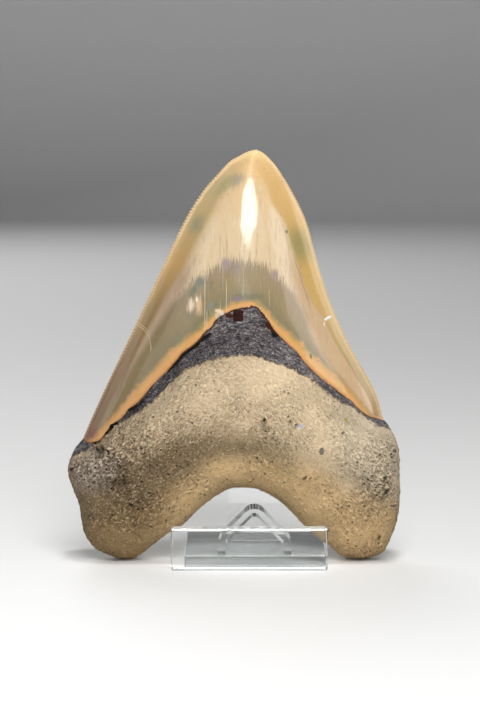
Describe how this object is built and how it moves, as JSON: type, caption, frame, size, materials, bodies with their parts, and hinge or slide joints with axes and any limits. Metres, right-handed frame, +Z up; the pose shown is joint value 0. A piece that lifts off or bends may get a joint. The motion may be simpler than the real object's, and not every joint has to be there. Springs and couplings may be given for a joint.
{
  "type": "megalodon tooth on stand",
  "caption": "Large triangular fossil shark tooth with serrated edges and a bulging forked root, leaning upright against a clear acrylic stand.",
  "frame": {"origin": "on the floor, under the middle of the whole object's box seen from above", "axes": "+Z up, +X across the tooth to the right of the displayed face, -Y towards the viewer of the displayed (tongue) face"},
  "size_m": [0.1102, 0.0526, 0.135],
  "materials": {
    "fossil": "polished cream and grey enamel over a porous matte tan root",
    "clear_acrylic": "clear, polished faces and edges"
  },
  "bodies": {
    "root": {"tooth": "fossil", "front_bar": "clear_acrylic", "base_plate": "clear_acrylic", "saddle": "clear_acrylic", "back_strip": "clear_acrylic"}
  },
  "joints": []
}
